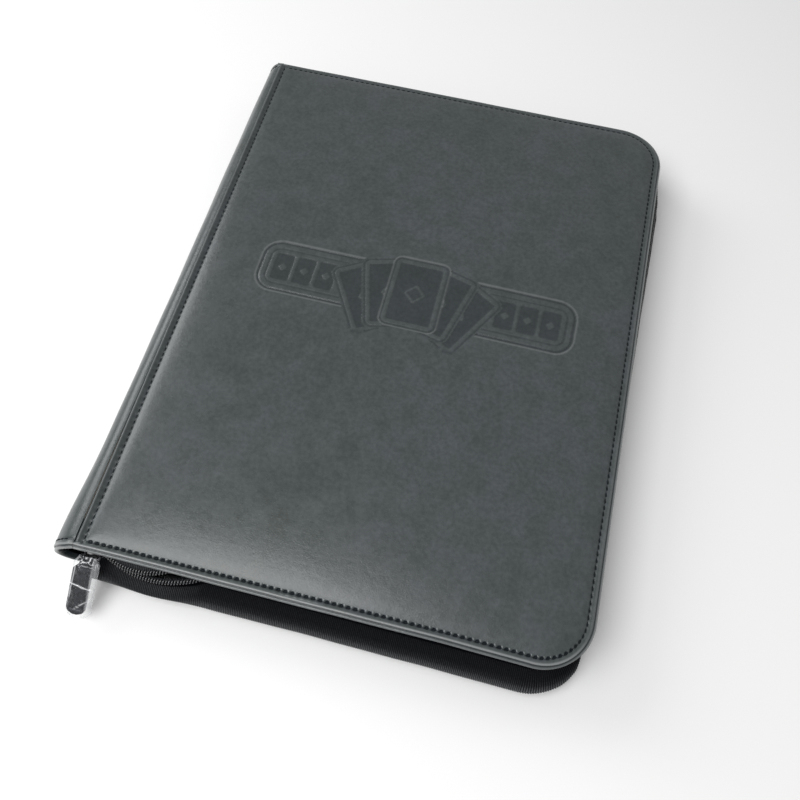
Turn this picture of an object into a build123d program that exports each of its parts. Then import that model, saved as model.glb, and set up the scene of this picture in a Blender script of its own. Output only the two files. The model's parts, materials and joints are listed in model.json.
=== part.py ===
from build123d import *
import os
from math import cos, radians, sin

# Zip-around trading card binder, lying shut on its back cover, in millimetres.
# X runs from the spine (-X) to the fore edge (+X), Y from the foot to the head, Z up.
# The origin is the middle of the back cover's outer face.

# --- covers -------------------------------------------------------------------
cover_w = 258.0          # seam at the spine to the fore edge
cover_h = 350.0          # foot to head
shut_t = 38.0            # outer face to outer face when shut
corner_r = 27.0          # the two fore-edge corners; the spine corners are square

seam_x = -cover_w / 2
fore_x = cover_w / 2
half_h = cover_h / 2

# depths measured inwards from a cover's outer face
border_d = 1.0           # the stitched border lies this far below the padded panel
skin_t = 1.2
foam_d = 1.2
foam_t = 2.0
board_d = 3.2
board_t = 1.6
lining_d = 4.8
lining_t = 0.6
flange_d = 2.7           # lining turned out under the border, past the zip tape
flange_t = 0.8
flange_inset = 3.2       # the tape leaves the cover outside the lining's turned edge
tongue_d = 2.2           # zip tape held between the border leather and the lining
tape_t = 0.5
tongue_gap = 0.4         # the tape's sewn edge stops this far short of the board

border_w = 5.5           # flat border outside the padded panel
core_inset = 6.3         # board and foam stop here
lining_wall = 0.6
stitch_inset = 4.3
thread_w = 0.7
thread_d = 0.7
thread_t = 0.3

# --- spine --------------------------------------------------------------------
fold_x = -134.0          # the two fold lines run along Y here
cover_left = -132.6      # where the covers stop short of the folds
band_right = -129.6      # turned edge of the spine leather, sewn over each cover
band_gap = 1.6           # bare border between that edge and the padded panel
spine_bulge = 12.0
spine_skin_t = 1.4
spine_stiffener_t = 0.9
spine_lining_t = 0.5
spine_end_depth = 14.0   # ribbed tape that binds each open end of the spine
spine_end_t = 0.6
spine_end_gap = 7.0      # the binding stops this far short of the folds
spine_row_gap = 3.0      # and the stitch rows this far

# --- page binding and leaves --------------------------------------------------
strip_x = -132.0
strip_t = 1.0
strip_clear = 6.0        # strip to each outer face
web_t = 1.6
web_gap = 0.05
leaf_count = 20
leaf_pitch = 1.25
leaf_hinge_x = -130.8
leaf_root_gap = 0.2
leaf_w = 236.0
leaf_h = 300.0
margin_w = 12.0
margin_t = 0.3
pocket_t = 0.5

# --- zip ----------------------------------------------------------------------
tape_set_in = 2.8        # upright part of the tape, in from the cover's edge
tape_left = -132.0
belly_out = 8.0          # the slack lower tape bellies out past the cover's edge
belly_low_z = 6.0
belly_high_z = 11.5
belly_top_z = 17.5
lower_tape_top = 21.75
upper_tape_bottom = 29.55
coil_r = 1.1
lower_coil_z = 22.9
upper_coil_z = 28.4
coil_left = -119.0
stop_len = 2.4
stop_w = 3.0
stop_h = 2.2
stop_corner_r = 0.6

# --- slider and pull ----------------------------------------------------------
slider_x = -126.5
slider_len = 12.0
slider_h = 10.0
plate_t = 1.6
plate_corner_r = 2.0
outer_plate_y = -174.0   # inner face of the outer plate
inner_plate_y = -170.0   # inner face of the inner plate
flange_lip = 0.8
lip_short = 2.2          # the lips stop this far short of each end of the plates
outer_lip_y = -173.0
inner_lip_y = -171.4
post_len = 3.4
post_h = 1.8
bar_y = -178.2
bar_z = 26.0
bar_r = 0.6
bar_span = 9.0
leg_w = 1.1
link_r = 1.9
link_wire_r = 0.45
link_out = 0.75          # middle of the link from the bar
pull_droop = 30.0        # degrees below level
pull_start = 0.9
pull_neck_w = 5.0
pull_neck_len = 3.4
pull_w = 12.0
pull_len = 30.0
pull_t = 1.8
pull_tip_r = 4.0
pull_neck_cut = 0.4      # the neck is thinned this much on each face
pull_hole_r = 0.9
pull_hole_at = 2.75
film_gap = 0.4
film_t = 0.2
film_start = 5.2
film_over = 1.2

os.makedirs("parts", exist_ok=True)


def keep(piece, name):
    """Label a finished piece and write it under that name."""
    piece.part.label = name
    export_step(piece.part, f"parts/{name}.step")


def layer_plane(side, depth, thickness):
    """Plane of a layer's lower face, by its depth from that cover's outer face."""
    if side == "back":
        return Plane.XY.offset(depth)
    return Plane.XY.offset(shut_t - depth - thickness)


def add_panel(left, inset, mode=Mode.ADD):
    """Cover outline drawn in by inset: square at the spine, round at the fore edge."""
    right = fore_x - inset
    height = cover_h - 2 * inset
    with BuildSketch(mode=Mode.PRIVATE) as outline:
        with Locations(((left + right) / 2, 0)):
            Rectangle(right - left, height)
        fillet(outline.vertices().group_by(Axis.X)[-1], corner_r - inset)
    add(outline.sketch, mode=mode)


def edge_path(inset, start_x):
    """Three-sided path along foot, fore edge and head, both ends at start_x."""
    far = fore_x - inset
    side = half_h - inset
    bend = corner_r - inset
    with BuildLine() as path:
        foot = Line((start_x, -side), (far - bend, -side))
        turn = TangentArc(foot @ 1, (far, bend - side), tangent=foot % 1)
        fore = Line(turn @ 1, (far, side - bend))
        back_turn = TangentArc(fore @ 1, (far - bend, side), tangent=fore % 1)
        Line(back_turn @ 1, (start_x, side))
    return path.wire()


def edge_profile_plane(start_x):
    """Plane across the path's start: local x points out of the foot edge, local y up."""
    return Plane(origin=(start_x, -half_h, 0), x_dir=(0, -1, 0), z_dir=(-1, 0, 0))


# --- covers: the same lay-up twice, mirrored about the middle ---------------------
for side in ("back", "front"):
    with BuildPart() as leather:
        with BuildSketch(layer_plane(side, border_d, skin_t)):
            add_panel(cover_left, 0)
        extrude(amount=skin_t)
        with BuildSketch(layer_plane(side, 0, border_d)):
            add_panel(band_right + band_gap, border_w)
        extrude(amount=border_d)
        with BuildSketch(layer_plane(side, foam_d, border_d + skin_t - foam_d)):
            add_panel(cover_left + core_inset, core_inset)
        extrude(amount=border_d + skin_t - foam_d, mode=Mode.SUBTRACT)
    keep(leather, f"{side}_leather")

    with BuildPart() as foam:
        with BuildSketch(layer_plane(side, foam_d, foam_t)):
            add_panel(cover_left + core_inset, core_inset)
        extrude(amount=foam_t)
    keep(foam, f"{side}_foam")

    with BuildPart() as board:
        with BuildSketch(layer_plane(side, board_d, board_t)):
            add_panel(cover_left + core_inset, core_inset)
        extrude(amount=board_t)
    keep(board, f"{side}_board")

    with BuildPart() as lining:
        with BuildSketch(layer_plane(side, flange_d, lining_d + lining_t - flange_d)):
            add_panel(cover_left, core_inset - lining_wall)
        extrude(amount=lining_d + lining_t - flange_d)
        with BuildSketch(layer_plane(side, flange_d, flange_t)):
            add_panel(cover_left, flange_inset)
        extrude(amount=flange_t)
        with BuildSketch(layer_plane(side, flange_d, lining_d - flange_d)):
            add_panel(cover_left + core_inset, core_inset)
        extrude(amount=lining_d - flange_d, mode=Mode.SUBTRACT)
    keep(lining, f"{side}_lining")

    with BuildPart() as stitching:
        with BuildSketch(layer_plane(side, thread_d, thread_t)):
            add_panel(seam_x - thread_w / 2, stitch_inset)
            add_panel(seam_x + thread_w / 2, stitch_inset + thread_w, Mode.SUBTRACT)
        extrude(amount=thread_t)
    keep(stitching, f"{side}_stitching")

    with BuildPart() as seam_band:
        with BuildSketch(layer_plane(side, 0, border_d)):
            with Locations(((cover_left + band_right) / 2, 0)):
                Rectangle(band_right - cover_left, cover_h)
        extrude(amount=border_d)
    keep(seam_band, f"{side}_seam_band")


# --- spine: three half-oval layers, bound at both ends -----------------------------
def add_half_oval(skin_depth, thickness, stop_short=0.0):
    """C-shaped layer of the spine in the XZ plane, open towards the leaves."""
    with BuildSketch(mode=Mode.PRIVATE) as layer:
        with Locations((fold_x, shut_t / 2)):
            Ellipse(spine_bulge - skin_depth, shut_t / 2 - skin_depth)
            Ellipse(
                spine_bulge - skin_depth - thickness,
                shut_t / 2 - skin_depth - thickness,
                mode=Mode.SUBTRACT,
            )
        with Locations((fold_x + spine_bulge - stop_short, shut_t / 2)):
            Rectangle(2 * spine_bulge, 2 * shut_t, mode=Mode.SUBTRACT)
    add(layer.sketch)


spine_plane = Plane(origin=(0, half_h, 0), x_dir=(1, 0, 0), z_dir=(0, -1, 0))

with BuildPart() as spine_leather:
    with BuildSketch(spine_plane):
        add_half_oval(0, spine_skin_t)
    extrude(amount=cover_h)
keep(spine_leather, "spine_leather")

stiffener_depth = spine_skin_t
with BuildPart() as spine_stiffener:
    with BuildSketch(spine_plane.offset(spine_end_depth)):
        add_half_oval(stiffener_depth, spine_stiffener_t)
    extrude(amount=cover_h - 2 * spine_end_depth)
keep(spine_stiffener, "spine_stiffener")

lining_depth = stiffener_depth + spine_stiffener_t
with BuildPart() as spine_lining:
    with BuildSketch(spine_plane.offset(spine_end_depth)):
        add_half_oval(lining_depth, spine_lining_t)
    extrude(amount=cover_h - 2 * spine_end_depth)
keep(spine_lining, "spine_lining")

with BuildPart() as spine_end_binding:
    for end_start in (0.0, cover_h - spine_end_depth):
        with BuildSketch(spine_plane.offset(end_start)):
            add_half_oval(spine_skin_t, spine_end_t, spine_end_gap)
        extrude(amount=spine_end_depth)
keep(spine_end_binding, "spine_end_binding")

with BuildPart() as spine_stitching:
    for row_start in (stitch_inset, cover_h - stitch_inset - thread_w):
        with BuildSketch(spine_plane.offset(row_start)):
            add_half_oval(-thread_t, thread_t, spine_row_gap)
        extrude(amount=thread_w)
keep(spine_stitching, "spine_stitching")

web_reach = fold_x - spine_bulge + lining_depth + spine_lining_t + web_gap
with BuildPart() as page_binding:
    with Locations((strip_x + strip_t / 2, 0, shut_t / 2)):
        Box(strip_t, leaf_h, shut_t - 2 * strip_clear)
    with Locations(((web_reach + strip_x) / 2, 0, shut_t / 2)):
        Box(strip_x - web_reach, leaf_h, web_t)
keep(page_binding, "page_binding")

# --- leaves: thin bound margin, thicker pocket area --------------------------------
stack_bottom = shut_t / 2 - leaf_pitch * (leaf_count - 1) / 2
leaf_left = leaf_hinge_x + leaf_root_gap
for number in range(1, leaf_count + 1):
    leaf_z = stack_bottom + leaf_pitch * (number - 1)
    with BuildPart() as leaf:
        with Locations((leaf_left + leaf_w / 2, 0, leaf_z)):
            Box(leaf_w, leaf_h, margin_t)
        with Locations((leaf_left + (margin_w + leaf_w) / 2, 0, leaf_z)):
            Box(leaf_w - margin_w, leaf_h, pocket_t)
    keep(leaf, f"leaf_{number:02d}")

# --- zip tapes and coils -----------------------------------------------------------
tongue_in = core_inset - tongue_gap
tongue_z = tongue_d + tape_t / 2

with BuildPart() as lower_zip_tape:
    with BuildSketch(edge_profile_plane(tape_left)):
        with BuildLine():
            Polyline(
                (-tongue_in, tongue_z),
                (0, tongue_z),
                (belly_out, belly_low_z),
                (belly_out, belly_high_z),
                (-tape_set_in, belly_top_z),
                (-tape_set_in, lower_tape_top),
            )
        trace(line_width=tape_t)
    sweep(path=edge_path(0, tape_left))
keep(lower_zip_tape, "lower_zip_tape")

with BuildPart() as upper_zip_tape:
    with BuildSketch(edge_profile_plane(tape_left)):
        with BuildLine():
            Polyline(
                (-tongue_in, shut_t - tongue_z),
                (-tape_set_in, shut_t - tongue_z),
                (-tape_set_in, upper_tape_bottom),
            )
        trace(line_width=tape_t)
    sweep(path=edge_path(0, tape_left))
keep(upper_zip_tape, "upper_zip_tape")

for name, coil_z in (("lower_coil", lower_coil_z), ("upper_coil", upper_coil_z)):
    with BuildPart() as coil:
        with BuildSketch(edge_profile_plane(coil_left)):
            with Locations((-tape_set_in, coil_z)):
                Circle(coil_r)
        sweep(path=edge_path(0, coil_left))
    keep(coil, name)

for name, coil_z in (("lower_head_stop", lower_coil_z), ("upper_head_stop", upper_coil_z)):
    with BuildPart() as stop:
        with Locations((coil_left - stop_len / 2, half_h - tape_set_in, coil_z)):
            Box(stop_len, stop_w, stop_h)
        fillet(stop.edges().filter_by(Axis.Z), stop_corner_r)
    keep(stop, name)

# --- slider: two plates joined by a post, lips that wrap the coils -------------------
zip_mid_z = (lower_coil_z + upper_coil_z) / 2
outer_y = outer_plate_y - plate_t / 2
inner_y = inner_plate_y + plate_t / 2
lip_z = slider_h / 2 - flange_lip / 2
with BuildPart() as slider_body:
    with Locations((slider_x, outer_y, zip_mid_z), (slider_x, inner_y, zip_mid_z)):
        Box(slider_len, plate_t, slider_h)
    fillet(slider_body.edges().filter_by(Axis.Y), plate_corner_r)
    outer_lip = outer_lip_y - outer_plate_y
    inner_lip = inner_plate_y - inner_lip_y
    for way in (-1, 1):
        with Locations((slider_x, outer_plate_y + outer_lip / 2, zip_mid_z + way * lip_z)):
            Box(slider_len - 2 * lip_short, outer_lip, flange_lip)
        with Locations((slider_x, inner_plate_y - inner_lip / 2, zip_mid_z + way * lip_z)):
            Box(slider_len - 2 * lip_short, inner_lip, flange_lip)
    post_y = (outer_plate_y + inner_plate_y) / 2
    with Locations((slider_x + slider_len / 2 - post_len, post_y, zip_mid_z)):
        Box(post_len, inner_plate_y - outer_plate_y, post_h)
keep(slider_body, "slider_body")

with BuildPart() as slider_bridge:
    outer_face_y = outer_plate_y - plate_t
    with Locations((slider_x, bar_y, bar_z)):
        Cylinder(bar_r, bar_span, rotation=(0, 90, 0))
    for way in (-1, 1):
        with Locations((slider_x + way * (bar_span - leg_w) / 2, (bar_y + outer_face_y) / 2, bar_z)):
            Box(leg_w, outer_face_y - bar_y, 2 * bar_r)
keep(slider_bridge, "slider_bridge")

# --- pull: jump ring on the bar, flat tab through the ring, film sleeve on the tab ----
droop = radians(pull_droop)
pull_plane = Plane(
    origin=(slider_x, bar_y, bar_z), x_dir=(1, 0, 0), z_dir=(0, sin(droop), -cos(droop))
)
ring_plane = Plane(
    origin=(slider_x, bar_y - link_out * cos(droop), bar_z - link_out * sin(droop)),
    x_dir=(0, -1, 0),
    z_dir=(1, 0, 0),
)

with BuildPart(ring_plane) as pull_link:
    Torus(link_r, link_wire_r)
keep(pull_link, "pull_link")

with BuildPart() as pull_tab:
    with BuildSketch(pull_plane) as tab_face:
        neck_end = pull_start + pull_neck_len
        with Locations((0, (pull_start + neck_end) / 2)):
            Rectangle(pull_neck_w, neck_end - pull_start)
        with Locations((0, (neck_end + pull_len) / 2)):
            Rectangle(pull_w, pull_len - neck_end)
        fillet(tab_face.vertices().group_by(Axis.Y)[-1], pull_tip_r)
        with Locations((0, pull_hole_at)):
            Circle(pull_hole_r, mode=Mode.SUBTRACT)
    extrude(amount=pull_t / 2, both=True)
    with BuildSketch(pull_plane.offset(pull_t / 2)):
        with Locations((0, pull_start + pull_neck_len / 2)):
            Rectangle(pull_neck_w, pull_neck_len)
    extrude(amount=-pull_neck_cut, mode=Mode.SUBTRACT)
    with BuildSketch(pull_plane.offset(-pull_t / 2)):
        with Locations((0, pull_start + pull_neck_len / 2)):
            Rectangle(pull_neck_w, pull_neck_len)
    extrude(amount=pull_neck_cut, mode=Mode.SUBTRACT)
keep(pull_tab, "pull_tab")

film_w = pull_w + 2 * (film_gap + film_t)
film_thick = pull_t + 2 * (film_gap + film_t)
film_end = pull_len + film_over
with BuildPart() as pull_film:
    with BuildSketch(pull_plane.offset(-film_thick / 2)) as film_face:
        with Locations((0, (film_start + film_end) / 2)):
            Rectangle(film_w, film_end - film_start)
        fillet(film_face.vertices().group_by(Axis.Y)[-1], pull_tip_r + film_gap)
    extrude(amount=film_thick)
    mouth = pull_film.faces().sort_by(Axis((0, 0, 0), pull_plane.y_dir))[0]
    offset(amount=-film_t, openings=mouth)
keep(pull_film, "pull_film")
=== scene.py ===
import json
import math

import bpy
import bmesh
import numpy as np
from mathutils import Euler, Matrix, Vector, noise


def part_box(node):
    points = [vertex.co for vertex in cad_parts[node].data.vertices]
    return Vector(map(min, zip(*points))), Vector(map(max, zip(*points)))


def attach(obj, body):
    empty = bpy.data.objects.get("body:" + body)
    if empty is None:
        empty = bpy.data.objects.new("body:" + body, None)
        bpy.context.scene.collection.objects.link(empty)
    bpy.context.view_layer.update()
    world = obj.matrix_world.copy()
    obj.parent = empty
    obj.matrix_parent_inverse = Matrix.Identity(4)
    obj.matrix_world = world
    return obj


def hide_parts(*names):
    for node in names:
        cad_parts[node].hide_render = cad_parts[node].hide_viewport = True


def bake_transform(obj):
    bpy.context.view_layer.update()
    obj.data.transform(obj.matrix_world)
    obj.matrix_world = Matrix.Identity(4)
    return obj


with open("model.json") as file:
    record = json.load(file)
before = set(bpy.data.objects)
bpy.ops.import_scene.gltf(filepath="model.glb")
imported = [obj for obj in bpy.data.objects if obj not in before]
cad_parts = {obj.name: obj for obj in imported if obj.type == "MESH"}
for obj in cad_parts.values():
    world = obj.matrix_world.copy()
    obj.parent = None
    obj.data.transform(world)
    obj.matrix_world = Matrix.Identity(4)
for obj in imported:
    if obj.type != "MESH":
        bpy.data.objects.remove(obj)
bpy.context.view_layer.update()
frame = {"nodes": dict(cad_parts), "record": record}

# Lengths below are millimetres in the frame's axes; add_piece turns them into metres.
MM = 0.001
TURN = 2 * math.pi

# --- sizes read from the frame -------------------------------------------------------


def box_mm(node):
    """Lowest and highest corner of a CAD node, in millimetres."""
    low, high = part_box(node)
    return [c / MM for c in low], [c / MM for c in high]


joints = {joint["name"]: joint for joint in frame["record"]["behaviour"]["joints"]}
fore_x, half_h, shut_t = box_mm("front_leather")[1]
spine_left = box_mm("spine_leather")[0][0]
fold_x = joints["cover_open"]["pos_m"][0] / MM
pull_pin = [c / MM for c in joints["pull_swing"]["pos_m"]]
lower_coil_box = box_mm("lower_coil")
upper_coil_box = box_mm("upper_coil")
lower_coil_z = (lower_coil_box[0][2] + lower_coil_box[1][2]) / 2
upper_coil_z = (upper_coil_box[0][2] + upper_coil_box[1][2]) / 2
coil_left = lower_coil_box[0][0]
coil_inset = fore_x - (lower_coil_box[1][0] - upper_coil_box[1][2] / 2 + upper_coil_box[0][2] / 2)
spine_bulge = fold_x - spine_left
mid_z = shut_t / 2

# --- the soft build-up, chosen close to the CAD box ----------------------------------
corner_r = 27.0
stitch_inset = 3.7              # from a cover's edge in to its stitches
stitch_pitch = 3.6
seam_x = fore_x - 259.8         # stitches beside the spine
border_z = shut_t - 1.2         # flat stitched border of a cover
foot_ply, head_ply, corner_ply, fore_ply = 1.0, 0.45, 0.4, 1.10   # how far the lower ply stands out
track_steps = 10                # points along an edge for each stitch
emblem_at = (-1.0, 11.0)
emblem_half = (94.0, 16.5)      # of its plain frame
emblem_spacing = 0.66           # between points of the panel where the emblem lies
# a cover's rim: in from the edge, below the border, share of the ply's reach, painted shade, wear and
# painted highlight
rim_steps = [
    (1.95, -0.05, 0.0, 0.0, 0.15), (1.55, -0.17, 0.0, 0.0, 0.6), (1.15, -0.13, 0.0, 0.0, 0.95),
    (0.82, 0.06, 0.0, 0.0, 0.8), (0.64, 0.38, 0.0, 0.1, 0.2), (0.72, 0.74, 0.0, 0.7, 0.0),
    (1.00, 0.98, 0.0, 1.0, 0.0), (0.50, 0.98, 0.2, 0.6, 0.0), (0.30, 0.93, 0.6, 0.1, 0.6),
    (0.12, 1.02, 0.85, 0.0, 1.0), (0.02, 1.30, 1.0, 0.0, 0.8), (0.00, 1.75, 1.0, 0.0, 0.1),
    (0.06, 2.20, 1.0, 0.0, 0.0), (0.25, 2.60, 0.9, 0.1, 0.0), (0.80, 2.85, 0.6, 0.4, 0.0),
    (2.50, 2.90, 0.0, 0.8, 0.0),
]
slack_at = (-131, -110, 0, 60, 115)         # along the foot, the soft edge settles out
slack_by = (0.95, 0.60, 0.0, -0.30, 0.30)   # by this much
seam_slant = 1.25               # the seam runs this far out of square at each end
spine_over = 2.2                # how far the middle of the spine's foot end passes the covers
spine_flare = 3.6               # and how much more it bulges than the rest of the spine
bow_length = 54.0               # of the free end of the lower coil
upper_bow_length = 40.0
tape_t = 0.5
bend_x = fore_x - corner_r
bend_y = half_h - corner_r


def add_piece(name, points, faces, material, slot, body=None, stands_for=(), flat=False):
    """A mesh object from points in millimetres, riding on a body and taking its material; the slot is not
    used.
    """
    mesh = bpy.data.meshes.new(name)
    mesh.from_pydata((np.asarray(points, dtype=float) * MM).tolist(), [], list(faces))
    mesh.update()
    if not flat:
        mesh.shade_smooth()
    mesh.materials.append(material)
    piece = bpy.data.objects.new(name, mesh)
    bpy.context.scene.collection.objects.link(piece)
    if body:
        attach(piece, body)
    if stands_for:
        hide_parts(*stands_for)
    return piece


def grid_faces(rows, cols, wrap=False, first=0, flip=False):
    """Quads of a rows by cols grid of points; wrap joins the last column to the first."""
    across = cols if wrap else cols - 1
    r, c = np.meshgrid(np.arange(rows - 1), np.arange(across), indexing="ij")
    after = (c + 1) % cols
    quads = np.stack([r * cols + c, r * cols + after, (r + 1) * cols + after, (r + 1) * cols + c], -1)
    quads = quads.reshape(-1, 4) + first
    return (quads[:, ::-1] if flip else quads).tolist()


def end_caps(rings, sides):
    """Faces that close both ends of a tube of points."""
    return [list(range(sides))[::-1], list(range((rings - 1) * sides, rings * sides))]


def weld(piece, distance=0.00001):
    """Joins points of a piece that lie on each other."""
    work = bmesh.new()
    work.from_mesh(piece.data)
    bmesh.ops.remove_doubles(work, verts=work.verts, dist=distance)
    work.to_mesh(piece.data)
    work.free()


def mark(piece, name, values):
    """Stores one number per point, for the material to read."""
    layer = piece.data.attributes.new(name, "FLOAT", "POINT")
    layer.data.foreach_set("value", np.asarray(values, dtype=np.float32))


def add_leather(name, rows, shades, wear_and_highlight_rows, flip=False, body=None, stands_for=()):
    """A sheet of leather from rows of points, each point with its painted shade and its wear and painted
    highlight.
    """
    rows = np.asarray(rows)
    sheet = add_piece(name, rows.reshape(-1, 3), grid_faces(*rows.shape[:2], flip=flip), leather, "leather",
                      body, stands_for)
    mark(sheet, "painted_light_and_shade", np.ravel(shades))
    mark(sheet, "wear_and_highlight", np.ravel(wear_and_highlight_rows))
    return sheet


def smooth_step(value, low, high):
    t = np.clip((np.asarray(value, dtype=float) - low) / (high - low), 0, 1)
    return t * t * (3 - 2 * t)


# --- materials -----------------------------------------------------------------------


class Shader:
    """A small helper that builds one procedural material."""

    def __init__(self, name):
        self.material = bpy.data.materials.new(name)
        self.material.use_nodes = True
        self.tree = self.material.node_tree
        self.surface = self.tree.nodes["Principled BSDF"]
        self.output = self.tree.nodes["Material Output"]
        self.coords = self.add("ShaderNodeTexCoord")

    def add(self, kind, **settings):
        node = self.tree.nodes.new(kind)
        for key, value in settings.items():
            if hasattr(node, key):
                setattr(node, key, value)
            else:
                node.inputs[key.replace("_", " ")].default_value = value
        return node

    def link(self, source, target):
        self.tree.links.new(source, target)

    def set(self, **values):
        for key, value in values.items():
            self.surface.inputs[key.replace("_", " ")].default_value = value

    def noise(self, scale, detail=3.0, roughness=0.5, stretch=None):
        """Fractal noise over the frame's own coordinates, in features per metre."""
        node = self.add("ShaderNodeTexNoise", Scale=scale, Detail=detail, Roughness=roughness)
        self.link(self.place(stretch), node.inputs["Vector"])
        return node.outputs["Fac"]

    def place(self, stretch):
        if stretch is None:
            return self.coords.outputs["Object"]
        node = self.add("ShaderNodeMapping")
        node.inputs["Scale"].default_value = stretch
        self.link(self.coords.outputs["Object"], node.inputs["Vector"])
        return node.outputs["Vector"]

    def ramp(self, source, stops):
        """Colour ramp; stops are (position, colour)."""
        node = self.add("ShaderNodeValToRGB")
        elements = node.color_ramp.elements
        while len(elements) < len(stops):
            elements.new(1.0)
        for element, (position, colour) in zip(elements, stops):
            element.position = position
            element.color = (*colour, 1.0)
        self.link(source, node.inputs["Fac"])
        return node.outputs["Color"]

    def map(self, source, low, high, to_low, to_high):
        node = self.add("ShaderNodeMapRange")
        sockets = ("From Min", "From Max", "To Min", "To Max")
        for socket, value in zip(sockets, (low, high, to_low, to_high)):
            node.inputs[socket].default_value = value
        self.link(source, node.inputs["Value"])
        return node.outputs["Result"]

    def mix(self, factor, first, second, blend="MIX"):
        node = self.add("ShaderNodeMix", data_type="RGBA", blend_type=blend)
        for socket, value in (("Factor", factor), ("A", first), ("B", second)):
            slot = next(s for s in node.inputs if s.name == socket and s.type in ("RGBA", "VALUE")
                        and (s.type == "RGBA") == (socket != "Factor"))
            if isinstance(value, (int, float, tuple)):
                slot.default_value = value
            else:
                self.link(value, slot)
        return next(s for s in node.outputs if s.type == "RGBA")

    def bump(self, layers):
        """Chains height layers, each (height, depth in metres, strength)."""
        normal = None
        for height, depth, strength in layers:
            node = self.add("ShaderNodeBump", Strength=strength, Distance=depth)
            self.link(height, node.inputs["Height"])
            if normal is not None:
                self.link(normal, node.inputs["Normal"])
            normal = node.outputs["Normal"]
        self.link(normal, self.surface.inputs["Normal"])


def grained_material(name, dark, light, rough, relief, noise_values, **surface):
    """One noise gives the tone, the relief (depth, strength) and, if rough is a pair, the gloss."""
    s = Shader(name)
    grain = s.noise(**noise_values)
    s.link(s.ramp(grain, [(0.3, dark), (0.7, light)]), s.surface.inputs["Base Color"])
    if isinstance(rough, tuple):
        s.link(s.map(grain, 0.3, 0.7, *rough), s.surface.inputs["Roughness"])
    else:
        s.set(Roughness=rough)
    s.set(**surface)
    if relief:
        s.bump([(grain, *relief)])
    return s.material


def leather_material():
    """Waxed slate-grey leatherette: cloudy tone, fine pores, faint scratches and light specks."""
    s = Shader("waxed_leatherette")
    clouds = s.noise(14, detail=4, roughness=0.55)
    patches = s.noise(85, detail=5, roughness=0.6)
    tone = s.ramp(clouds, [(0.32, (0.043, 0.053, 0.052)), (0.68, (0.052, 0.060, 0.064))])
    blotch = s.ramp(patches, [(0.35, (0.41, 0.43, 0.41)), (0.65, (0.59, 0.58, 0.60))])
    colour = s.mix(0.6, tone, blotch, "OVERLAY")
    cells = s.add("ShaderNodeTexVoronoi", Scale=1150.0, feature="F1")
    s.link(s.coords.outputs["Object"], cells.inputs["Vector"])
    specks = s.ramp(cells.outputs["Distance"], [(0.0, (1, 1, 1)), (0.07, (0, 0, 0))])
    rare = s.ramp(s.noise(420, detail=1), [(0.60, (0, 0, 0)), (0.68, (1, 1, 1))])
    colour = s.mix(s.mix(1.0, specks, rare, "MULTIPLY"), colour, (0.16, 0.17, 0.17, 1))
    fine = s.noise(430, detail=3, roughness=0.6)
    mottle = s.ramp(fine, [(0.34, (0.36, 0.37, 0.37)), (0.66, (0.64, 0.63, 0.63))])
    colour = s.mix(0.6, colour, mottle, "OVERLAY")
    # Lighter on the rim beads and outer ply, the seam ridge's crest and the emblem's lines: partly edge
    # wear, partly painted highlight.
    wear_and_highlight = s.add("ShaderNodeAttribute", attribute_name="wear_and_highlight")
    colour = s.mix(wear_and_highlight.outputs["Fac"], colour, (0.22, 0.23, 0.23, 1))
    # Painted shade: darker in the stitch pits, the rim grooves, the seam crease and the pressed emblem's
    # recesses.
    painted_light_and_shade = s.add("ShaderNodeAttribute", attribute_name="painted_light_and_shade")
    colour = s.mix(painted_light_and_shade.outputs["Fac"], colour, (0.007, 0.011, 0.015, 1))
    s.link(colour, s.surface.inputs["Base Color"])
    s.link(s.map(patches, 0.3, 0.7, 0.25, 0.31), s.surface.inputs["Roughness"])
    s.set(Specular_IOR_Level=0.5, Sheen_Weight=0.05, Sheen_Roughness=0.45)
    pores = s.add("ShaderNodeTexVoronoi", Scale=1900.0, feature="SMOOTH_F1")
    s.link(s.coords.outputs["Object"], pores.inputs["Vector"])
    scratch = s.noise(60, detail=6, roughness=0.75, stretch=(1.0, 9.0, 1.0))
    s.bump([
        (s.noise(240, detail=3), 0.00022, 0.35),
        (pores.outputs["Distance"], 0.00010, 0.30),
        (scratch, 0.00012, 0.22),
    ])
    return s.material


def tape_material():
    """Black woven zip tape; the ribs are in the mesh, the yarns are here."""
    s = Shader("woven_zip_tape")
    yarns = s.noise(1500, detail=3, roughness=0.7)
    lint = s.noise(130, detail=5, roughness=0.7)
    black = s.ramp(yarns, [(0.3, (0.0012, 0.0014, 0.0020)), (0.75, (0.0036, 0.0040, 0.0056))])
    # Painted light: the lit colour where the tape stands past the cover, the black where the cover shades
    # it.
    lit = s.ramp(yarns, [(0.3, (0.09, 0.095, 0.10)), (0.75, (0.27, 0.275, 0.28))])
    painted_light_share = s.add("ShaderNodeAttribute", attribute_name="painted_light_and_shade")
    s.link(s.mix(painted_light_share.outputs["Fac"], black, lit), s.surface.inputs["Base Color"])
    s.link(s.map(lint, 0.3, 0.7, 0.75, 0.92), s.surface.inputs["Roughness"])
    s.set(Specular_IOR_Level=0.02)
    s.bump([(yarns, 0.00018, 0.6)])
    return s.material


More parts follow.
